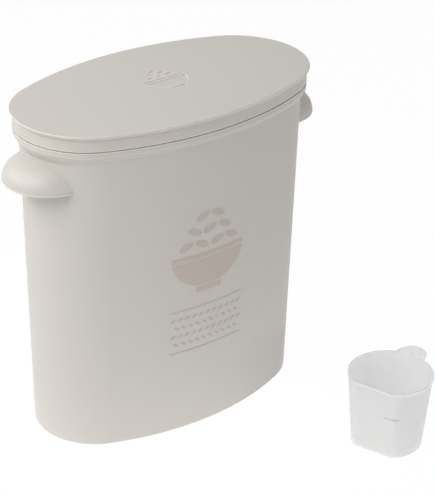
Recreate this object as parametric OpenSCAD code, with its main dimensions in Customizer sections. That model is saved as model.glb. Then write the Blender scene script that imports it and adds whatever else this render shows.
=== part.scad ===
// Oval bin for dry rice, with a lift-off lid collar, a flip panel hinged at the back, and a measuring cup.
// The origin is the middle of the underside, on the surface that the bin stands on. X runs along the
// bin, -Y is the front, +Z is up. All sizes are in millimetres.

/* [Lid outline] */
// Length of the flip panel, end to end
lid_length = 286; // [270:1:300]
// Width of the flip panel, front to back
lid_width = 160; // [154:1:168]

/* [Heights] */
// Height of the bin with its lid closed
total_height = 300; // [260:1:330]
// Height of the flip panel's edge
panel_edge = 3.7; // [3.2:0.1:5]
// Slit between the flip panel and the collar
panel_slit = 0.3; // [0.2:0.1:0.8]
// Height of the collar's band
band_height = 10.1; // [9.8:0.1:14]
// Shadow gap between the collar's band and the tub's rim
shadow_gap = 1.3; // [0.8:0.1:2]

/* [Tub] */
// Distance from the lid's outline to the tub's wall, at the two ends
wall_end_inset = 8.4; // [7.5:0.1:9.5]
// Distance from the lid's outline to the tub's wall, at the front and back
wall_side_inset = 4.5; // [4:0.1:6]
// How far the wall leans in between the rim and the foot
wall_lean = 6; // [4:0.1:10]
// Thickness of the wall
wall_thickness = 2.3; // [1.8:0.1:3]
// Thickness of the floor
floor_thickness = 3; // [2.6:0.1:4]
// Width of the foot ring, from the wall to the groove inside it
foot_width = 8; // [6:0.5:12]
// Width of the groove inside the foot ring
groove_width = 3; // [2:0.5:6]
// Depth of the groove inside the foot ring
groove_depth = 1; // [0.5:0.1:1.4]
// Radius of the wall's lower edge
foot_radius = 2.5; // [1:0.1:3.4]
// Radius between the floor and the wall, inside
inner_radius = 9; // [4:0.5:14]

/* [Rim] */
// Distance from the lid's outline to the rim's face
rim_inset = 2.4; // [2.2:0.1:2.6]
// Height of the rim's face
rim_height = 4.7; // [4:0.1:6]
// Step under the rim's face
rim_step = 0.6; // [0.3:0.1:1]
// Height over which the rim flares out from the wall
flare_height = 12; // [9:0.5:18]
// Width of the rim's top
rim_land = 4; // [3.6:0.1:4.6]
// Depth of the shadow gap
gap_depth = 1.6; // [1.2:0.1:1.8]

/* [Handles] */
// Plan radius of a handle's hood
hood_radius = 38.5; // [34:0.5:42]
// Distance from the bin's middle to the middle of a hood
hood_offset = 118; // [115:0.5:120]
// Height of a hood's dome above its hem
hood_rise = 20.5; // [17:0.5:24]
// Roundness of a hood's dome: 2 is a plain ellipse, more is fuller
dome_power = 2.2; // [1.7:0.05:2.4]
// Distance from the rim's top down to a hood's hem
hood_drop = 37.4; // [37:0.2:50]
// Thickness of a hood
hood_thickness = 2.2; // [1.8:0.1:3]
// Height of the bead along a hood's hem
hem_height = 1.4; // [1.2:0.1:3]
// How far the hem's bead stands out
hem_bead = 0.4; // [0.2:0.1:1]

/* [Lid collar] */
// Distance from the lid's outline to the band's face
band_inset = 2.5; // [2.4:0.1:2.9]
// Bevel along the band's upper edge
band_bevel = 0.8; // [0.7:0.1:1]
// Thickness of the collar's walls
collar_thickness = 2.2; // [1.8:0.1:2.4]
// Width of the collar's outer deck
deck_width = 8.8; // [8.6:0.1:9.2]
// Distance from the band's face to the edge of the mouth
mouth_inset = 18.4; // [18:0.1:24]
// How far the seal's land lies below the deck
land_drop = 2.4; // [1.5:0.1:3]
// Depth of the lip around the mouth
lip_depth = 7; // [4:0.5:9]
// Depth of the plug inside the rim
plug_depth = 7.6; // [6.6:0.1:8]
// Height of the plug's upright part
plug_upright = 3.8; // [3.4:0.1:4.4]
// How far the plug narrows towards its lower edge
plug_lead = 1.8; // [1.6:0.1:3]
// Clearance between the plug and the rim
plug_clearance = 0.8; // [0.6:0.1:1.2]

/* [Flip panel] */
// Thickness of the panel's plate
plate_thickness = 2.4; // [2:0.1:3]
// Radius of the plate's upper edge
plate_radius = 0.9; // [0.6:0.1:1.6]
// How far the plate's edge leans in towards its foot
edge_lean = 1.4; // [1:0.1:1.4]
// Width of the rim under the plate's edge
skirt_width = 1.8; // [1.4:0.1:1.8]
// Thickness of the two ribs that hold the gasket
rib_thickness = 1.4; // [1:0.1:1.6]
// Distance from the deck's step to the outer rib
rib_clearance = 1.8; // [1.6:0.1:2.4]
// Height from the seal's land to the ribs
rib_gap = 0.8; // [0.5:0.1:1.2]

/* [Lid motif] */
// Radius of the bowl sunk into the panel's top
bowl_radius = 20; // [10:0.5:24]
// Length of a grain of rice in the motif
grain_length = 9; // [5:0.2:10]
// Width of a grain of rice in the motif
grain_width = 3.8; // [2:0.1:4]
// Depth of the sunk motif
motif_depth = 0.5; // [0.2:0.1:0.8]
// Place of the motif along the panel
motif_x = 7; // [-40:1:40]
// Place of the motif across the panel
motif_y = 8; // [-30:1:30]

/* [Seals] */
// Width of the flip panel's gasket
gasket_width = 3.2; // [2.4:0.1:3.6]
// Width of the gasket's lip where it meets the land
gasket_lip = 1.6; // [1:0.1:2]
// Height of the ring that seals the plug
seal_height = 2.2; // [1.8:0.1:2.4]
// Depth of the groove that holds the plug's seal
seal_depth = 1.2; // [0.9:0.1:1.4]
// Gap between the plug's seal and the rim
seal_gap = 0.3; // [0.3:0.05:0.5]

/* [Hinge] */
// Distance from the bin's middle to the middle of a hinge lug
lug_offset = 15; // [13:0.5:16]
// Width of a hinge lug
lug_width = 10; // [6:0.5:11]
// Outer radius of a hinge lug
lug_radius = 3.4; // [3:0.1:3.5]
// Distance from the band's face to the hinge axis
axis_inset = 3.2; // [3.1:0.1:3.4]
// Distance from the collar's top to the hinge axis
axis_drop = 4.3; // [4.1:0.1:4.5]
// Radius of a hinge pin
pin_radius = 1.3; // [1:0.05:1.4]
// Length of the collar's ear on each side of a lug
ear_width = 3; // [2.5:0.5:4]
// Clearance between a lug and its pocket
pocket_clearance = 0.6; // [0.4:0.1:1]
// Running clearance of a lug on its pin
pin_clearance = 0.06; // [0.04:0.01:0.1]
// Clearance of a pin in the collar's ears
seat_clearance = 0.02; // [0.01:0.01:0.03]

/* [Measuring cup] */
// Radius of the cup's round side, at its rim
cup_radius = 36.8; // [34:0.2:38.4]
// Distance from the cup's middle to its flat side, at the rim
cup_flat = 30.6; // [30:0.1:32.4]
// Height of the cup
cup_height = 68.6; // [55:0.2:80]
// How far the cup's wall leans in between the rim and the floor
cup_lean = 5.8; // [3:0.1:6.4]
// Thickness of the cup's wall
cup_wall = 1.3; // [1:0.1:1.6]
// Thickness of the cup's floor
cup_floor = 1.6; // [1.2:0.1:2.5]
// Radius of the cup's lower edge
cup_foot_radius = 1.4; // [0.8:0.1:2]
// Width of the bead around the cup's rim
cup_bead = 0.6; // [0.4:0.1:1]
// Height of the bead around the cup's rim
cup_bead_height = 2; // [1.5:0.1:3]
// Radius of the thumb tab
tab_radius = 12.8; // [11:0.2:15]
// Distance from the rim to the middle of the tab
tab_reach = 2.6; // [0:0.2:5]
// Radius of the hollow curves that lead from the rim into the tab
tab_fillet = 6; // [3:0.5:9]
// Place of the cup beside the bin, along X
cup_x = 103.8; // [95:0.2:140]
// Place of the cup in front of the bin, along Y
cup_y = -189.6; // [-240:0.2:-150]
// Turn of the cup, whose flat side faces -X when this is 0
cup_turn = 18.5; // [0:0.5:359]

/* [Hidden] */
$fn = 96;
greige = "#c6c0b8";
silicone = "#e4e2dc";
pin_steel = "#b9bcc0";
clear_plastic = "#e6e9ea";
// Overlap of joined solids, and reach of cutters past a face
lap = 1;
// Straight pieces in a rounded profile
arc_steps = 6;
// Swing of the flare's S-shaped side to each side of a straight one, as a share of its depth
flare_swing = 0.09;
// Thickness of the plug's lower edge, as a share of the collar's walls
plug_edge = 0.7;
// How far the plug's seal sits below the middle of the plug's upright face
seal_sag = 0.2;
// How far the edges of the seal's rounded lip are set back from its middle
seal_crown = 0.1;
// How far the pin's ends lie inside the ears' faces
pin_setback = 0.5;
// How much narrower a lug's arm is than the lug, on each side
arm_shoulder = 0.5;
// How much rounder the cup's lower corner is inside than outside
cup_rounding = 1;

// An oval's outline is [half length, half width], drawn as four arcs that run into each other. The arcs'
// centres, seen from the middle, form a triangle with sides in the ratio 5:12:13.
lid = [lid_length / 2, lid_width / 2];
rim = shrink(lid, rim_inset);
band = shrink(lid, band_inset);
wall = [lid[0] - wall_end_inset, lid[1] - wall_side_inset];

panel_bottom = total_height - panel_edge;
collar_top = panel_bottom - panel_slit;
land_top = collar_top - land_drop;
band_bottom = collar_top - band_height;
rim_top = band_bottom - shadow_gap;
rim_bottom = rim_top - rim_height;
flare_bottom = rim_bottom - flare_height;
hem_top = rim_top - hood_drop;
// Inner edge of a solid oval's profile
deep = -2 * side_radius(lid);
flare_depth = wall_end_inset - rim_inset - rim_step + lap / 2;

// Offsets from the band's face, inwards
rib_outer = deck_width + rib_clearance;
gasket_outer = rib_outer + rib_thickness;
gasket_inner = gasket_outer + gasket_width;
plug_face = rim_land + plug_clearance - (band_inset - rim_inset);
rib_bottom = land_top + rib_gap;
seal_bottom = rim_top - plug_upright / 2 - seal_height / 2 - seal_sag;

axis_y = band[1] - axis_inset;
axis_z = collar_top - axis_drop;
pocket_radius = lug_radius + pocket_clearance;
pocket_width = lug_width + 2 * pocket_clearance;
block_width = pocket_width + 2 * ear_width;

function shrink(o, d) = [o[0] - d, o[1] - d];
function end_centre(o) = 5 * (o[0] - o[1]) / 4;
function side_centre(o) = 12 * (o[0] - o[1]) / 4;
function centre_gap(o) = 13 * (o[0] - o[1]) / 4;
function end_radius(o) = o[0] - end_centre(o);
function side_radius(o) = centre_gap(o) + end_radius(o);
// Inward lean of the tub's outer face at height z
function lean(z) = wall_lean * (1 - z / flare_bottom);
// Points of a round corner about [x, z], from one angle to another
function corner(x, z, r, from, to) =
    [for (i = [0:arc_steps]) let (t = from + (to - from) * i / arc_steps) [x + r * cos(t), z + r * sin(t)]];
// Points of the flare's S-shaped side, from the rim's face down to the wall
function flare(x, z) = [for (t = [0:0.25:1])
    [x - flare_depth * (t - flare_swing * sin(360 * t)), z - flare_height * t]];

// Turns a profile into a solid oval. The profile's x is the offset from the outline, outwards; inwards
// it runs past the arcs' centres, to the edge called deep.
module oval_solid(o) {
    c = end_centre(o);
    k = side_centre(o);
    for (x = [-c, c]) translate([x, 0, 0]) rotate_extrude() beyond_axis(end_radius(o)) children();
    intersection() {
        translate([0, -k, 0]) rotate_extrude($fn = 240) beyond_axis(side_radius(o)) children();
        translate([0, k, 0]) rotate_extrude($fn = 240) beyond_axis(side_radius(o)) children();
        translate([0, 0, -2 * lap]) linear_extrude(total_height + 4 * lap)
            polygon([[c, 0], [2 * c, k], [-2 * c, k], [-c, 0], [-2 * c, -k], [2 * c, -k]]);
    }
}

// The part of a profile that lies beyond the turning axis
module beyond_axis(r) intersection() {
    translate([r, 0]) children();
    translate([0, -2 * lap]) square([r + lap, total_height + 4 * lap]);
}

// An upright oval wall between two offsets and two heights
module oval_ring(o, outer, inner, z0, z1) difference() {
    oval_solid(o) polygon([[deep, z0], [outer, z0], [outer, z1], [deep, z1]]);
    oval_solid(o) polygon([[deep, z0 - lap], [inner, z0 - lap], [inner, z1 + lap], [deep, z1 + lap]]);
}

module tub_outside() {
    oval_solid(wall) polygon(concat(
        [[deep, 0]],
        corner(-lean(0) - foot_radius, foot_radius, foot_radius, -90, 0),
        [[-lean(rim_bottom + lap), rim_bottom + lap], [deep, rim_bottom + lap]]));
    oval_solid(rim) polygon(concat(
        [[deep, flare_bottom], [deep, rim_top], [0, rim_top], [0, rim_bottom]],
        flare(-rim_step, rim_bottom)));
}

module tub_inside() {
    oval_solid(wall) polygon(concat(
        [[deep, rim_top + lap], [deep, floor_thickness]],
        corner(-lean(floor_thickness) - wall_thickness - inner_radius, floor_thickness + inner_radius,
            inner_radius, -90, 0),
        [[-lean(rim_top + lap) - wall_thickness, rim_top + lap]]));
    oval_solid(rim) polygon([[deep, flare_bottom + lap], [deep, rim_top + lap], [-rim_land, rim_top + lap],
        [-rim_land, rim_bottom + lap / 2], [-rim_land - flare_depth, flare_bottom + lap]]);
}

module foot_groove() oval_ring(wall, -lean(0) - foot_width, -lean(0) - foot_width - groove_width,
    -lap, groove_depth);

// Points of a hood's dome, from its hem up to its top
function dome(r, h) = [for (i = [0:3 * arc_steps]) let (t = 30 * i / arc_steps)
    [r * pow(max(cos(t), 0), 2 / dome_power), h * pow(sin(t), 2 / dome_power)]];

// A domed hood, open below, that the fingers reach into
module hood() {
    inner = hood_radius - hood_thickness;
    translate([0, 0, hem_top]) rotate_extrude() difference() {
        union() {
            polygon(concat([[0, 0]], dome(hood_radius, hood_rise)));
            translate([0, -hem_height]) square([hood_radius + hem_bead, hem_height]);
        }
        polygon(concat([[0, 0]], dome(inner, hood_rise - hood_thickness)));
        translate([-lap, -hem_height - lap]) square([inner + lap, hem_height + lap]);
    }
}

module bin_body() color(greige) difference() {
    union() {
        tub_outside();
        for (side = [0, 180]) rotate(side) translate([hood_offset, 0, 0]) hood();
    }
    tub_inside();
    foot_groove();
}

module collar_outside() {
    oval_solid(band) polygon([[deep, rim_top], [-gap_depth, rim_top], [-gap_depth, band_bottom],
        [0, band_bottom], [0, collar_top - band_bevel], [-band_bevel, collar_top], [deep, collar_top]]);
    oval_solid(band) polygon([[deep, rim_top + lap], [-plug_face, rim_top + lap],
        [-plug_face, rim_top - plug_upright], [-plug_face - plug_lead, rim_top - plug_depth],
        [deep, rim_top - plug_depth]]);
}

// The hollow under the collar's deck and inside its plug, around the lip of the mouth
module collar_hollow() {
    t = collar_thickness;
    plug_back = -plug_face - plug_lead - t * plug_edge;
    difference() {
        oval_solid(band) polygon([[deep, rim_top - plug_depth - lap], [plug_back, rim_top - plug_depth - lap],
            [plug_back, rim_top - plug_depth], [-plug_face - t, rim_top - plug_upright],
            [-plug_face - t, rim_top + t], [-t, rim_top + t], [-t, collar_top - t], [deep, collar_top - t]]);
        oval_solid(band) polygon([[deep, land_top - lip_depth], [-mouth_inset + t, land_top - lip_depth],
            [-mouth_inset + t, land_top - t], [-deck_width - lap, land_top - t],
            [-deck_width + t, collar_top - t], [deep, collar_top - t]]);
    }
}

// Solid block inside the band that carries a hinge lug's pocket and its two ears
module hinge_block(x) {
    intersection() {
        translate([x - block_width / 2, band[1] - deck_width, rim_top])
            cube([block_width, deck_width + lap, collar_top - rim_top]);
        collar_outside();
    }
}

module lid_collar() color(greige) difference() {
    union() {
        difference() {
            collar_outside();
            collar_hollow();
            oval_solid(band) polygon([[deep, land_top], [-deck_width, land_top],
                [-deck_width, collar_top + lap], [deep, collar_top + lap]]);
        }
        for (x = [-lug_offset, lug_offset]) hinge_block(x);
    }
    oval_solid(band) polygon([[deep, rim_top - plug_depth - lap], [-mouth_inset, rim_top - plug_depth - lap],
        [-mouth_inset, collar_top + lap], [deep, collar_top + lap]]);
    oval_ring(band, -plug_face + lap / 2, -plug_face - seal_depth, seal_bottom, seal_bottom + seal_height);
    for (x = [-lug_offset, lug_offset]) {
        translate([x - pocket_width / 2, axis_y - pocket_radius, axis_z - pocket_radius])
            cube([pocket_width, axis_inset + pocket_radius + lap, axis_drop + pocket_radius + lap]);
        translate([x - block_width / 2 - lap, axis_y, axis_z]) rotate([0, 90, 0])
            cylinder(block_width + 2 * lap, r = pin_radius + seat_clearance);
    }
}

// The plug's seal: a flat ring with a rounded lip that stands out towards the rim
module rim_seal() color(silicone) {
    z0 = seal_bottom + seat_clearance;
    z1 = seal_bottom + seal_height - seat_clearance;
    reach = -plug_face + plug_clearance - seal_gap;
    difference() {
        oval_solid(band) polygon([[deep, z0], [-plug_face, z0],
            [reach - seal_crown, z0 + seal_height * 0.3], [reach, z0 + seal_height * 0.45],
            [reach - seal_crown, z0 + seal_height * 0.6], [-plug_face, z1], [deep, z1]]);
        oval_solid(band) polygon([[deep, z0 - lap], [-plug_face - seal_depth + seat_clearance, z0 - lap],
            [-plug_face - seal_depth + seat_clearance, z1 + lap], [deep, z1 + lap]]);
    }
}

module hinge_lug(x) {
    arm = lug_radius - arm_shoulder;
    translate([x - lug_width / 2, axis_y, axis_z]) difference() {
        union() {
            rotate([0, 90, 0]) cylinder(lug_width, r = lug_radius);
            translate([0, -arm, 0]) cube([lug_width, 2 * arm, total_height - axis_z - plate_thickness / 2]);
        }
        translate([-lap, 0, 0]) rotate([0, 90, 0])
            cylinder(lug_width + 2 * lap, r = pin_radius + pin_clearance);
    }
}

// A pointed oval, as a grain of rice, along X
module grain() {
    r = (grain_length * grain_length + grain_width * grain_width) / (4 * grain_width);
    intersection() {
        translate([0, r - grain_width / 2]) circle(r);
        translate([0, grain_width / 2 - r]) circle(r);
    }
}

// A rice bowl with a heap of grains, seen from the side
module motif() {
    gap = bowl_radius * 0.1;
    depth = bowl_radius * 0.88;
    lip = bowl_radius * 1.04;
    foot = bowl_radius * 0.36;
    pitch = grain_length * 1.06;
    intersection() {
        circle(bowl_radius);
        translate([-bowl_radius, -depth]) square([2 * bowl_radius, depth - gap]);
    }
    translate([-lip, 0]) square([2 * lip, gap]);
    translate([-foot, -bowl_radius * 1.06]) square([2 * foot, gap]);
    for (row = [0:2]) for (i = [0:2 - row])
        translate([(i - 1 + row / 2) * pitch, gap * 3.2 + row * grain_length * 0.62])
            rotate(24 * pow(-1, i + row)) grain();
}

module flip_panel() color(greige) {
    underside = total_height - plate_thickness;
    skirt_inner = -edge_lean - skirt_width;
    difference() {
        oval_solid(lid) polygon(concat(
            [[deep, total_height], [deep, panel_bottom], [-edge_lean, panel_bottom]],
            corner(-plate_radius, total_height - plate_radius, plate_radius, 0, 90)));
        oval_solid(lid) polygon([[deep, panel_bottom - lap], [skirt_inner, panel_bottom - lap],
            [skirt_inner, underside], [deep, underside]]);
        translate([motif_x, motif_y, total_height - motif_depth]) linear_extrude(motif_depth + lap) motif();
    }
    for (edge = [rib_outer, gasket_inner])
        oval_ring(band, -edge, -edge - rib_thickness, rib_bottom, underside + lap);
    for (x = [-lug_offset, lug_offset]) hinge_lug(x);
}

module panel_gasket() color(silicone) {
    top = total_height - plate_thickness - seat_clearance;
    outer = -gasket_outer - seat_clearance;
    inner = -gasket_inner + seat_clearance;
    middle = (outer + inner) / 2;
    difference() {
        oval_solid(band) polygon([[deep, land_top], [middle + gasket_lip / 2, land_top], [outer, rib_bottom],
            [outer, top], [deep, top]]);
        oval_solid(band) polygon([[deep, land_top - lap], [middle - gasket_lip / 2, land_top - lap],
            [middle - gasket_lip / 2, land_top], [inner, rib_bottom], [inner, top + lap], [deep, top + lap]]);
    }
}

module hinge_pin(x) color(pin_steel) translate([x - block_width / 2 + pin_setback, axis_y, axis_z])
    rotate([0, 90, 0]) cylinder(block_width - 2 * pin_setback, r = pin_radius);

module hinge_pin_left() hinge_pin(-lug_offset);
module hinge_pin_right() hinge_pin(lug_offset);

// Turns a profile into a solid with the cup's outline: a round side, a flat side and two round corners.
// The profile's x is the offset from the outline, outwards. The corners' centres and the cup's middle
// form triangles with sides in the ratio 20:21:29.
module cup_solid() {
    u = (cup_radius - cup_flat) / 8;
    for (side = [-1, 1]) translate([-21 * u, side * 20 * u, 0])
        rotate_extrude() beyond_axis(cup_radius - 29 * u) children();
    intersection() {
        rotate_extrude() beyond_axis(cup_radius) children();
        translate([0, 0, -2 * lap]) linear_extrude(cup_height + 4 * lap)
            polygon([[0, 0], [-84 * u, 80 * u], [84 * u, 80 * u], [84 * u, -80 * u], [-84 * u, -80 * u]]);
    }
    translate([0, 20 * u, 0]) rotate([90, 0, 0]) linear_extrude(40 * u) intersection() {
        mirror([1, 0]) translate([cup_flat, 0]) children();
        translate([-2 * cup_radius, -2 * lap]) square([2 * cup_radius, cup_height + 4 * lap]);
    }
}

// The thumb tab, with hollow curves that touch both its edge and the rim's bead
module cup_tab() {
    reach = cup_radius + tab_reach;
    near = cup_radius + cup_bead + tab_fillet;
    far = tab_radius + tab_fillet;
    x = (near * near - far * far + reach * reach) / (2 * reach);
    y = sqrt(near * near - x * x);
    translate([reach, 0]) circle(tab_radius);
    difference() {
        polygon([[0, 0], [x, y], [reach, 0], [x, -y]]);
        for (side = [-1, 1]) translate([x, side * y]) circle(tab_fillet);
    }
}

module cup_outside() {
    bead_bottom = cup_height - cup_bead_height;
    cup_solid() polygon(concat([[deep, 0]],
        corner(-cup_lean - cup_foot_radius, cup_foot_radius, cup_foot_radius, -90, 0),
        [[-cup_lean * cup_bead_height / cup_height, bead_bottom], [cup_bead, bead_bottom],
        [cup_bead, cup_height], [deep, cup_height]]));
    translate([0, 0, bead_bottom]) linear_extrude(cup_bead_height) cup_tab();
}

module cup_inside() {
    r = cup_foot_radius + cup_rounding;
    cup_solid() polygon(concat([[deep, cup_height + lap], [deep, cup_floor]],
        corner(-cup_lean - cup_wall - r, cup_floor + r, r, -90, 0),
        [[-cup_wall, cup_height], [-cup_wall, cup_height + lap]]));
}

module measuring_cup() color(clear_plastic) translate([cup_x, cup_y, 0]) rotate(cup_turn) difference() {
    cup_outside();
    cup_inside();
}

bin_body();
lid_collar();
rim_seal();
flip_panel();
panel_gasket();
hinge_pin_left();
hinge_pin_right();
measuring_cup();
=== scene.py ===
"""Looks of an oval rice bin with a flip lid and a clear measuring cup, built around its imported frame."""

import math

import bmesh
import bpy
from mathutils import Matrix, Vector


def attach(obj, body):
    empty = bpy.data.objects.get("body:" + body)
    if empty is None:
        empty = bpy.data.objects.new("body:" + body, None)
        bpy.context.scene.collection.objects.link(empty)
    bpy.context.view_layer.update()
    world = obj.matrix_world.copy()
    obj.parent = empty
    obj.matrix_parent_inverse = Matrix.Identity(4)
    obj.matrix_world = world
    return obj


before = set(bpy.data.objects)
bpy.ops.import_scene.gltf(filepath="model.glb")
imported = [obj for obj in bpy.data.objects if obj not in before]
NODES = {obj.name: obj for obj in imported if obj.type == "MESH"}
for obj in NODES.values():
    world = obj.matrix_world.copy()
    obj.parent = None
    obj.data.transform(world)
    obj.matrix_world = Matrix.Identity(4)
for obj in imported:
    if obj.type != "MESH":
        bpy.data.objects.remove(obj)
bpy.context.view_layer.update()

MM = 0.001

# Linear colours: those with a fourth value are set on a colour socket, the others are toned first
TUB_GREIGE = (0.580, 0.551, 0.512)
LID_GREIGE = (0.588, 0.556, 0.514)
PRINT_TAUPE = (0.523, 0.458, 0.413)
SILICONE_WHITE = (0.72, 0.71, 0.68)
PIN_STEEL = (0.50, 0.51, 0.53, 1)
CUP_CLEAR = (0.89, 0.89, 0.89)
# the cup's colour where a wall is seen at a slant: partly its depth of plastic, partly painted shade
CUP_DEPTH_AND_SHADE = (0.58, 0.58, 0.59, 1)
STAGE_WHITE = (0.80, 0.80, 0.80, 1)
LIGHT_WHITE = (1, 1, 1, 1)


# ---------------------------------------------------------------- shader node helpers

# A Mix node's colour sockets, which share their names with its number sockets
MIX_SHARE, MIX_FIRST, MIX_SECOND, MIX_RESULT = 0, 6, 7, 2


def fill(tree, node, inputs):
    """Sets a node's inputs, each from a link, which is (node, output), or from a constant."""
    for key, value in inputs.items():
        if isinstance(value, tuple) and isinstance(value[0], bpy.types.Node):
            source, output = value
            tree.links.new(source.outputs[output], node.inputs[key])
        else:
            node.inputs[key].default_value = value


def add(tree, kind, inputs=None, **settings):
    """A new node with its settings and its inputs."""
    node = tree.nodes.new(kind)
    for key, value in settings.items():
        setattr(node, key, value)
    fill(tree, node, inputs or {})
    return node


def maths(tree, operation, first, second):
    """The result of a sum, product or other operation on two values, as a link."""
    return add(tree, "ShaderNodeMath", {0: first, 1: second}, operation=operation), "Value"


def product(tree, colour, tone):
    """A colour times a tone, as a link."""
    return add(tree, "ShaderNodeVectorMath", {0: colour, 1: tone}, operation="MULTIPLY"), "Vector"


def ranged(tree, value, from_ends=(0.0, 1.0), to_ends=(0.0, 1.0)):
    """A value taken from one range to another, as a link."""
    return add(tree, "ShaderNodeMapRange", {
        "Value": value, "From Min": from_ends[0], "From Max": from_ends[1],
        "To Min": to_ends[0], "To Max": to_ends[1],
    }), "Result"


def noise(tree, scale, detail, roughness):
    """Noise over the object's own coordinates, as a link; its scale counts features per metre."""
    place = add(tree, "ShaderNodeTexCoord"), "Object"
    return add(tree, "ShaderNodeTexNoise", {
        "Vector": place, "Scale": scale, "Detail": detail, "Roughness": roughness,
    }), "Fac"


def swing(tree, source, amount, middle):
    """Noise made to swing about a middle, as a link."""
    noise_middle = 0.5
    centred = maths(tree, "SUBTRACT", source, noise_middle)
    return maths(tree, "ADD", maths(tree, "MULTIPLY", centred, amount), middle)


def bumped(tree, height, strength, distance):
    """A normal tilted by a height that changes over the surface, as a link."""
    inputs = {"Height": height, "Strength": strength, "Distance": distance}
    return add(tree, "ShaderNodeBump", inputs), "Normal"


# ---------------------------------------------------------------- effects that materials share

MOULD_GRAIN_SCALE = 1500.0
BROAD_TONE_SCALE = 9.0
HANDLING_SCALE = 22.0

# How open a point just under the surface is where an edge begins and where it is complete
EDGE_OPENNESS = (0.94, 0.60)


def new_group(name, inputs, outputs):
    """A node group whose sockets are numbers, as (group, its input node, its output node)."""
    group = bpy.data.node_groups.new(name, "ShaderNodeTree")
    for label, value in inputs.items():
        socket = group.interface.new_socket(label, in_out="INPUT", socket_type="NodeSocketFloat")
        socket.default_value = value
    for label in outputs:
        group.interface.new_socket(label, in_out="OUTPUT", socket_type="NodeSocketFloat")
    return group, group.nodes.new("NodeGroupInput"), group.nodes.new("NodeGroupOutput")


def texture_grain_group():
    """Fine spark-eroded grain of a matte moulding: a height and a faint tone."""
    group, given, result = new_group(
        "texture_grain", {"Scale": MOULD_GRAIN_SCALE, "Tone Depth": 0.02}, ("Height", "Tone"))
    broad = noise(group, BROAD_TONE_SCALE, detail=3.0, roughness=0.5)
    fill(group, result, {
        "Height": noise(group, (given, "Scale"), detail=2.0, roughness=0.6),
        "Tone": swing(group, broad, (given, "Tone Depth"), middle=1.0),
    })
    return group


def handling_marks_group():
    """Faint patches that handling leaves on a matte surface: a roughness."""
    group, given, result = new_group("handling_marks", {"Roughness": 0.45, "Amount": 0.08}, ("Roughness",))
    patches = noise(group, HANDLING_SCALE, detail=4.0, roughness=0.6)
    fill(group, result, {"Roughness": swing(group, patches, (given, "Amount"), (given, "Roughness"))})
    return group


def edge_mask_and_painted_highlight_group():
    """Outer edges: a mask, 1 along them, and a tone that lifts the colour there as a painted highlight."""
    group, given, result = new_group("edge_mask_and_painted_highlight", {"Width": 0.001, "Lift": 0.3}, ("Edge", "Tone"))
    inward = add(group, "ShaderNodeAmbientOcclusion", {"Distance": (given, "Width")},
                 samples=6, inside=True, only_local=True)
    edge = ranged(group, (inward, "AO"), from_ends=EDGE_OPENNESS)
    lift = maths(group, "MULTIPLY", edge, (given, "Lift"))
    fill(group, result, {"Edge": edge, "Tone": maths(group, "ADD", lift, 1.0)})
    return group


GRAIN = texture_grain_group()
HANDLING = handling_marks_group()
EDGES = edge_mask_and_painted_highlight_group()


def place_effect(tree, group, **values):
    """A shared effect placed in a material with that material's own values."""
    inputs = {key.replace("_", " ").title(): value for key, value in values.items()}
    return add(tree, "ShaderNodeGroup", inputs, node_tree=group)


# ---------------------------------------------------------------- materials

PLASTIC_IOR = 1.49

# How dense the cup's plastic looks on its walls, at its edges, and where a wall is seen at a slant
WALL_DENSITY = 0.50
EDGE_DENSITY = 0.75
SLANT_DENSITY = 0.85
SLANT_BEGINS = 0.70


def new_material(name):
    """A material with only its Principled BSDF, as (material, tree, shader)."""
    material = bpy.data.materials.new(name)
    material.use_nodes = True
    tree = material.node_tree
    return material, tree, tree.nodes["Principled BSDF"]


def moulded_plastic(name, colour, roughness, grain_height, edge_highlight):
    """Matte moulded polypropylene with its fine grain, faint handling marks and a painted highlight along
    its outer edges.
    """
    material, tree, shader = new_material(name)
    grain = place_effect(tree, GRAIN, scale=MOULD_GRAIN_SCALE, tone_depth=0.02)
    marks = place_effect(tree, HANDLING, roughness=roughness, amount=0.08)
    edges = place_effect(tree, EDGES, width=0.0011, lift=edge_highlight)
    toned = product(tree, colour, (grain, "Tone"))
    fill(tree, shader, {
        # painted highlight: the base colour is lightened along the outer edges
        "Base Color": product(tree, toned, (edges, "Tone")),
        "Roughness": (marks, "Roughness"),
        "Normal": bumped(tree, (grain, "Height"), strength=0.35, distance=grain_height),
        "IOR": PLASTIC_IOR,
    })
    return material


def tub_plastic():
    return moulded_plastic("tub_plastic", TUB_GREIGE, roughness=0.45, grain_height=0.00006, edge_highlight=0.30)


def lid_plastic():
    return moulded_plastic("lid_plastic", LID_GREIGE, roughness=0.44, grain_height=0.00005, edge_highlight=0.40)


def pad_print_ink():
    """Thin taupe ink laid on the wall, slightly worn by the grain under it."""
    material, tree, shader = new_material("pad_print_ink")
    grain = place_effect(tree, GRAIN, scale=MOULD_GRAIN_SCALE, tone_depth=0.08)
    fill(tree, shader, {
        "Base Color": product(tree, PRINT_TAUPE, (grain, "Tone")),
        "Roughness": 0.6,
        "Normal": bumped(tree, (grain, "Height"), strength=0.3, distance=0.00005),
    })
    return material


def silicone():
    """Pale translucent silicone with a soft skin."""
    material, tree, shader = new_material("silicone")
    grain = place_effect(tree, GRAIN, scale=700.0, tone_depth=0.05)
    fill(tree, shader, {
        "Base Color": product(tree, SILICONE_WHITE, (grain, "Tone")),
        "Roughness": 0.42,
        "Normal": bumped(tree, (grain, "Height"), strength=0.2, distance=0.00004),
        "Subsurface Weight": 0.25,
        "Subsurface Radius": (0.003, 0.003, 0.003),
        "Subsurface Scale": 1.0,
    })
    return material


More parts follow.
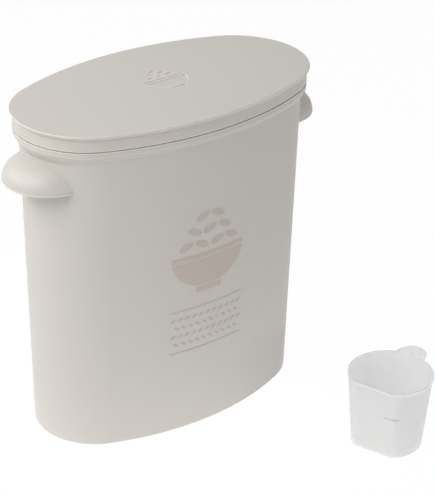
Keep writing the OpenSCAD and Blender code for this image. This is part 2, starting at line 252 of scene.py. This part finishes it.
def drawn_wire():
    """Drawn steel wire, brushed along its length."""
    material, tree, shader = new_material("drawn_wire")
    place = add(tree, "ShaderNodeTexCoord"), "Object"
    along = add(tree, "ShaderNodeMapping", {"Vector": place, "Scale": (60.0, 3000.0, 3000.0)}), "Vector"
    streaks = add(tree, "ShaderNodeTexNoise", {"Vector": along, "Scale": 1.0, "Detail": 2.0}), "Fac"
    fill(tree, shader, {
        "Base Color": PIN_STEEL,
        "Metallic": 1.0,
        "Roughness": ranged(tree, streaks, to_ends=(0.22, 0.42)),
        "Normal": bumped(tree, streaks, strength=0.2, distance=0.00003),
    })
    return material


def cup_plastic():
    """Thin natural polypropylene: milky and half see-through, and denser at its rim, edges and outline,
    where its colour darkens partly for the longer way through the plastic and partly as painted shade.
    """
    material, tree, shader = new_material("cup_plastic")
    grain = place_effect(tree, GRAIN, scale=900.0, tone_depth=0.02)
    marks = place_effect(tree, HANDLING, roughness=0.30, amount=0.02)
    edges = place_effect(tree, EDGES, width=0.001, lift=0.1)
    # a wall seen at a slant is a longer way through the plastic; the darker colour there is partly that and
    # partly painted shade along the outline
    facing = add(tree, "ShaderNodeLayerWeight", {"Blend": 0.5}), "Facing"
    slant = ranged(tree, facing, from_ends=(SLANT_BEGINS, 1.0))
    colour = add(tree, "ShaderNodeMix", {
        MIX_SHARE: slant, MIX_FIRST: product(tree, CUP_CLEAR, (grain, "Tone")), MIX_SECOND: CUP_DEPTH_AND_SHADE,
    }, data_type="RGBA")
    at_edges = ranged(tree, (edges, "Edge"), to_ends=(WALL_DENSITY, EDGE_DENSITY))
    at_slant = maths(tree, "MULTIPLY", slant, SLANT_DENSITY)
    fill(tree, shader, {
        "Base Color": (colour, MIX_RESULT),
        "Roughness": (marks, "Roughness"),
        "Alpha": maths(tree, "MAXIMUM", at_edges, at_slant),
        "Normal": bumped(tree, (grain, "Height"), strength=0.15, distance=0.00004),
        "IOR": PLASTIC_IOR,
        "Subsurface Weight": 0.7,
        "Subsurface Radius": (0.006, 0.006, 0.006),
        "Subsurface Scale": 1.0,
    })
    return material


TUB = tub_plastic()
LID = lid_plastic()
INK = pad_print_ink()
SEAL = silicone()
WIRE = drawn_wire()
CUP = cup_plastic()

for node_name, material in (
    ("bin_body", TUB), ("lid_collar", LID), ("flip_panel", LID),
    ("rim_seal", SEAL), ("panel_gasket", SEAL),
    ("hinge_pin_left", WIRE), ("hinge_pin_right", WIRE), ("measuring_cup", CUP),
):
    for slot in NODES[node_name].material_slots:
        slot.material = material


# ---------------------------------------------------------------- pieces that ride on the part

MERGE_DISTANCE = 0.01 * MM


def add_piece(name, mesh, material, body):
    """Turns a bmesh into a named piece that rides on a body."""
    bmesh.ops.remove_doubles(mesh, verts=mesh.verts, dist=MERGE_DISTANCE)
    data = bpy.data.meshes.new(name)
    mesh.to_mesh(data)
    mesh.free()
    data.materials.append(material)
    piece = bpy.data.objects.new(name, data)
    bpy.context.scene.collection.objects.link(piece)
    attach(piece, body)


# ---------------------------------------------------------------- front print

# The tub's front wall, in millimetres: part of a cone about an upright axis behind it
WALL_CENTRE_Y = 177.3
WALL_RADIUS_AT_RIM = 252.8
WALL_LEAN = 6.0
WALL_TOP = 267.9

# Millimetres on that wall: x along it from the middle of the print, z up from the floor
PRINT_X = -5.5
PRINT_PROUD = 0.08
STRIP_STEP = 4.0
BOWL_TOP = 173.0
BOWL_HALF_WIDTH = 38.0
BOWL_DEPTH = 31.0
BOWL_ROUNDNESS = 0.96
BOWL_LIP = 4.3
BOWL_GAP = 1.9
BOWL_SLICES = 14
FOOT_HALF_WIDTH = 13.0
FOOT_HEIGHT = 4.5
HEAP_ROWS = (4, 3, 2)
HEAP_GRAIN = (15.0, 6.6)
HEAP_PITCH = 16.0
HEAP_FOOT = 9.0
HEAP_RISE = 13.0
HEAP_TILT = 22.0
BORDER_HALF_WIDTH = 38.0
BORDER_TOP = 121.0
BORDER_BOTTOM = 80.0
BORDER_RULE = 1.1
BORDER_ROWS = 4
BORDER_ROW_GRAINS = 11
BORDER_GRAIN = (6.0, 2.3)
BORDER_PITCH = 7.0
BORDER_TILT = 32.0

# A grain's pointed ends, and its middle ring as a share of its outline
GRAIN_POINTEDNESS = 1.25
GRAIN_MIDDLE_RING = 0.55


def wall_point(x, z):
    """A point of the print on the tub's front wall, in metres."""
    radius = WALL_RADIUS_AT_RIM - WALL_LEAN * (1 - z / WALL_TOP) + PRINT_PROUD
    along = PRINT_X + x
    return Vector((along, WALL_CENTRE_Y - math.sqrt(radius * radius - along * along), z)) * MM


def print_strip(mesh, top, bottom, half_top, half_bottom):
    """A level strip of the print between two heights, cut into short lengths so that it follows the wall."""
    parts = max(1, math.ceil(2 * half_top / STRIP_STEP))
    shares = [2 * i / parts - 1 for i in range(parts + 1)]
    for left, right in zip(shares, shares[1:]):
        corners = ((half_top * left, top), (half_bottom * left, bottom),
                   (half_bottom * right, bottom), (half_top * right, top))
        mesh.faces.new([mesh.verts.new(wall_point(x, z)) for x, z in corners])


def print_grain(mesh, x, z, size, tilt, corners):
    """A pointed oval, as a grain of rice, with a ring halfway in so that it follows the wall."""
    length, width = size
    turn = math.radians(tilt)
    rings = []
    for share in (1.0, GRAIN_MIDDLE_RING):
        ring = []
        for i in range(corners):
            angle = 2 * math.pi * i / corners
            bulge = math.copysign(abs(math.sin(angle)) ** GRAIN_POINTEDNESS, math.sin(angle))
            along = share * length / 2 * math.cos(angle)
            across = share * width / 2 * bulge
            ring.append(mesh.verts.new(wall_point(x + along * math.cos(turn) - across * math.sin(turn),
                                                  z + along * math.sin(turn) + across * math.cos(turn))))
        rings.append(ring)
    middle = mesh.verts.new(wall_point(x, z))
    outer, inner = rings
    for i in range(corners):
        j = (i + 1) % corners
        mesh.faces.new((outer[i], outer[j], inner[j], inner[i]))
        mesh.faces.new((inner[i], inner[j], middle))


def print_row(mesh, z, count, pitch, size, tilts, corners):
    """A centred row of grains, whose tilts come in turn from a pair."""
    for i in range(count):
        print_grain(mesh, (i - (count - 1) / 2) * pitch, z, size, tilts[i % 2], corners)


def printed_bowl(mesh):
    """A round bowl seen from the side, with a lip above it and a foot under it."""
    def half_width(depth):
        return BOWL_HALF_WIDTH * math.sqrt(1 - (BOWL_ROUNDNESS * depth / BOWL_DEPTH) ** 2)

    print_strip(mesh, BOWL_TOP, BOWL_TOP - BOWL_LIP, half_width(0), half_width(BOWL_LIP))
    start = BOWL_LIP + BOWL_GAP
    depths = [start + (BOWL_DEPTH - start) * i / BOWL_SLICES for i in range(BOWL_SLICES + 1)]
    for upper, lower in zip(depths, depths[1:]):
        print_strip(mesh, BOWL_TOP - upper, BOWL_TOP - lower, half_width(upper), half_width(lower))
    foot_top = BOWL_TOP - BOWL_DEPTH - BOWL_GAP
    print_strip(mesh, foot_top, foot_top - FOOT_HEIGHT, FOOT_HALF_WIDTH, FOOT_HALF_WIDTH)


def printed_heap(mesh):
    """Grains heaped over the bowl in rows that grow shorter, each tilted against the next."""
    for row, count in enumerate(HEAP_ROWS):
        tilt = -HEAP_TILT if row % 2 else HEAP_TILT
        z = BOWL_TOP + HEAP_FOOT + HEAP_RISE * row
        print_row(mesh, z, count, HEAP_PITCH, HEAP_GRAIN, (tilt, -tilt), corners=20)


def printed_border(mesh):
    """Rows of small grains between two plain rules, each row tilted against the next."""
    for z in (BORDER_TOP, BORDER_BOTTOM):
        print_strip(mesh, z + BORDER_RULE / 2, z - BORDER_RULE / 2, BORDER_HALF_WIDTH, BORDER_HALF_WIDTH)
    rise = (BORDER_TOP - BORDER_BOTTOM) / (BORDER_ROWS + 1)
    for row in range(BORDER_ROWS):
        odd = row % 2
        tilt = -BORDER_TILT if odd else BORDER_TILT
        print_row(mesh, BORDER_TOP - rise * (row + 1), BORDER_ROW_GRAINS - odd, BORDER_PITCH,
                  BORDER_GRAIN, (tilt, tilt), corners=12)


def front_print():
    """The pad print on the tub's front: a bowl of rice over a border of grains, all facing outward."""
    mesh = bmesh.new()
    printed_bowl(mesh)
    printed_heap(mesh)
    printed_border(mesh)
    for face in mesh.faces:
        face.normal_update()
        if face.normal.y > 0:
            face.normal_flip()
    add_piece("front_print", mesh, INK, "bin")


front_print()


# ---------------------------------------------------------------- the cup's level mark

# Millimetres and degrees: the cup's place and turn, and its rounded corner at the height of the mark
CUP_PLACE = (103.8, -189.6)
CUP_TURN = 18.5
CUP_CORNER = (-16.3, -15.5)
CUP_CORNER_RADIUS = 12.0
MARK_HEIGHT = 41.0
MARK_FLAT_LENGTH = 5.0
MARK_FLAT_STEPS = 4
MARK_CORNER_ANGLE = 45.0
MARK_CORNER_STEPS = 12
MARK_HALF_HEIGHT = 0.7
MARK_END_SHARE = 0.4

# The mark's section: how far each corner stands out of the wall, and its share of the half height
MARK_SECTION = ((-0.1, -1.0), (0.245, -0.6), (0.35, 0.0), (0.245, 0.6), (-0.1, 1.0))


def mark_path():
    """Points along the cup's wall with their outward directions, off the flat side and round the corner."""
    x = CUP_CORNER[0] - CUP_CORNER_RADIUS
    path = []
    for i in range(MARK_FLAT_STEPS):
        path.append(((x, CUP_CORNER[1] + MARK_FLAT_LENGTH * (1 - i / MARK_FLAT_STEPS)), (-1.0, 0.0)))
    for i in range(MARK_CORNER_STEPS + 1):
        angle = math.radians(180 + MARK_CORNER_ANGLE * i / MARK_CORNER_STEPS)
        out = (math.cos(angle), math.sin(angle))
        path.append(((CUP_CORNER[0] + CUP_CORNER_RADIUS * out[0],
                      CUP_CORNER[1] + CUP_CORNER_RADIUS * out[1]), out))
    return path


def level_mark():
    """A low rounded rib that shows where the cup is half full."""
    mesh = bmesh.new()
    turn = Matrix.Rotation(math.radians(CUP_TURN), 3, "Z")
    cup_place = Vector((*CUP_PLACE, 0))
    path = mark_path()
    rings = []
    for step, ((x, y), out) in enumerate(path):
        at_end = step in (0, len(path) - 1)
        half_height = MARK_HALF_HEIGHT * (MARK_END_SHARE if at_end else 1.0)
        ring = []
        for proud, share in MARK_SECTION:
            corner = Vector((x + out[0] * proud, y + out[1] * proud, MARK_HEIGHT + share * half_height))
            ring.append(mesh.verts.new((turn @ corner + cup_place) * MM))
        rings.append(ring)
    for near, far in zip(rings, rings[1:]):
        for i in range(len(MARK_SECTION)):
            j = (i + 1) % len(MARK_SECTION)
            mesh.faces.new((near[i], near[j], far[j], far[i]))
    mesh.faces.new(rings[0])
    mesh.faces.new(rings[-1])
    bmesh.ops.recalc_face_normals(mesh, faces=mesh.faces)
    for face in mesh.faces:
        face.smooth = True
    add_piece("cup_level_mark", mesh, CUP, "cup")


level_mark()


# ---------------------------------------------------------------- camera

# Metres, degrees and pixels
CAMERA_AT = (-0.8985, -1.1908, 0.9319)
CAMERA_AZIMUTH, CAMERA_ELEVATION, CAMERA_ROLL = (math.radians(v) for v in (-38.932, 27.809, 1.0975))
FOCAL_PIXELS = 1909.2
CENTRE_PIXELS = (218.77, 245.93)
FRAME_PIXELS = (435, 495)
SENSOR_HEIGHT_MM = 36.0
VIEW_REACH = 30.0


def camera():
    """The camera, turned by its azimuth and elevation and then rolled."""
    data = bpy.data.cameras.new("camera")
    data.sensor_fit = "VERTICAL"
    data.sensor_height = SENSOR_HEIGHT_MM
    data.lens = FOCAL_PIXELS * SENSOR_HEIGHT_MM / FRAME_PIXELS[1]
    data.shift_x = (FRAME_PIXELS[0] / 2 - CENTRE_PIXELS[0]) / FRAME_PIXELS[1]
    data.shift_y = (CENTRE_PIXELS[1] - FRAME_PIXELS[1] / 2) / FRAME_PIXELS[1]
    data.clip_end = VIEW_REACH
    back = Vector((math.sin(CAMERA_AZIMUTH) * math.cos(CAMERA_ELEVATION),
                   -math.cos(CAMERA_AZIMUTH) * math.cos(CAMERA_ELEVATION), math.sin(CAMERA_ELEVATION)))
    right = Vector((math.cos(CAMERA_AZIMUTH), math.sin(CAMERA_AZIMUTH), 0))
    up = back.cross(right)
    rolled_right = math.cos(CAMERA_ROLL) * right + math.sin(CAMERA_ROLL) * up
    rolled_up = math.cos(CAMERA_ROLL) * up - math.sin(CAMERA_ROLL) * right
    turn = Matrix((rolled_right, rolled_up, back)).transposed()
    obj = bpy.data.objects.new("camera", data)
    obj.matrix_world = Matrix.Translation(CAMERA_AT) @ turn.to_4x4()
    bpy.context.scene.collection.objects.link(obj)
    bpy.context.scene.camera = obj


# ---------------------------------------------------------------- floor and light

SKY_STRENGTH = 0.24

# How white the floor shows, and the light that it sends back up: its strength, reach in metres and fall
FLOOR_SHOWS = 0.97
FLOOR_GLOW = 0.79
FLOOR_GLOW_REACH = 0.8
FLOOR_GLOW_FALL = 2.3
FLOOR_HALF_WIDTH = 6.0
FLOOR_DROP = 0.0003
FLOOR_ROUGHNESS = 0.9

# Softboxes: name, place and size in metres, power in watts, height on the upright axis that each is aimed at
SOFTBOXES = (
    ("overhead_softbox", (0.0, 0.0, 2.6), (1.8, 1.8), 8.3, 0.20),
    ("key_softbox", (-1.1, -0.1, 1.35), (0.8, 0.8), 9.6, 0.20),
    ("side_softbox", (-1.3, 0.2, 0.7), (0.8, 0.8), 3.2, 0.20),
    ("rear_softbox", (-0.9, 0.9, 1.1), (0.8, 0.8), 8.0, 0.20),
    ("front_softbox", (-0.3, -2.6, 0.9), (1.4, 1.4), 8.0, 0.15),
    ("low_front_strip", (0.6, -2.4, 0.4), (1.8, 0.7), 7.7, 0.10),
)


def seen_rays(tree):
    """1 for the rays that see the background: camera, glossy and transmission; as a link."""
    path = add(tree, "ShaderNodeLightPath")
    direct = maths(tree, "MAXIMUM", (path, "Is Camera Ray"), (path, "Is Glossy Ray"))
    return maths(tree, "MAXIMUM", direct, (path, "Is Transmission Ray"))


def floor():
    """A wide pale floor that shows almost white and keeps a trace of the shadow."""
    mesh = bmesh.new()
    bmesh.ops.create_grid(mesh, x_segments=8, y_segments=8, size=FLOOR_HALF_WIDTH)
    data = bpy.data.meshes.new("floor")
    mesh.to_mesh(data)
    mesh.free()
    obj = bpy.data.objects.new("floor", data)
    obj.location.z = -FLOOR_DROP
    bpy.context.scene.collection.objects.link(obj)
    material, tree, shader = new_material("floor_white")
    fill(tree, shader, {"Base Color": STAGE_WHITE, "Roughness": FLOOR_ROUGHNESS})
    white = add(tree, "ShaderNodeEmission", {"Color": LIGHT_WHITE, "Strength": 1.0}), "Emission"
    share = maths(tree, "MULTIPLY", seen_rays(tree), FLOOR_SHOWS)
    # light that the lit floor sends back up, strongest round the object
    place = add(tree, "ShaderNodeTexCoord"), "Object"
    away = add(tree, "ShaderNodeVectorMath", {0: place}, operation="LENGTH"), "Value"
    near = ranged(tree, away, from_ends=(0.0, FLOOR_GLOW_REACH), to_ends=(1.0, 0.0))
    glow = maths(tree, "MULTIPLY", maths(tree, "POWER", near, FLOOR_GLOW_FALL), FLOOR_GLOW)
    bounce = add(tree, "ShaderNodeEmission", {"Color": LIGHT_WHITE, "Strength": glow}), "Emission"
    lit = add(tree, "ShaderNodeAddShader", {0: (shader, "BSDF"), 1: bounce}), "Shader"
    both = add(tree, "ShaderNodeMixShader", {0: share, 1: lit, 2: white}), "Shader"
    fill(tree, tree.nodes["Material Output"], {"Surface": both})
    data.materials.append(material)


def sky():
    """An even studio surround; it shows white behind the object."""
    world = bpy.data.worlds.new("studio")
    world.use_nodes = True
    tree = world.node_tree
    tree.nodes.clear()
    surround = add(tree, "ShaderNodeBackground", {"Color": LIGHT_WHITE, "Strength": SKY_STRENGTH})
    white = add(tree, "ShaderNodeBackground", {"Color": LIGHT_WHITE, "Strength": 1.0})
    sources = {0: seen_rays(tree), 1: (surround, "Background"), 2: (white, "Background")}
    both = add(tree, "ShaderNodeMixShader", sources), "Shader"
    add(tree, "ShaderNodeOutputWorld", {"Surface": both})
    bpy.context.scene.world = world


def softbox(name, at, size, power, aim_height):
    """A rectangular lamp turned towards the object's upright axis."""
    data = bpy.data.lights.new(name, "AREA")
    data.shape = "RECTANGLE"
    data.size, data.size_y = size
    data.energy = power
    obj = bpy.data.objects.new(name, data)
    obj.location = at
    obj.rotation_euler = (Vector((0, 0, aim_height)) - Vector(at)).to_track_quat("-Z", "Y").to_euler()
    bpy.context.scene.collection.objects.link(obj)


bpy.context.scene.view_settings.view_transform = "Standard"
camera()
floor()
sky()
for values in SOFTBOXES:
    softbox(*values)
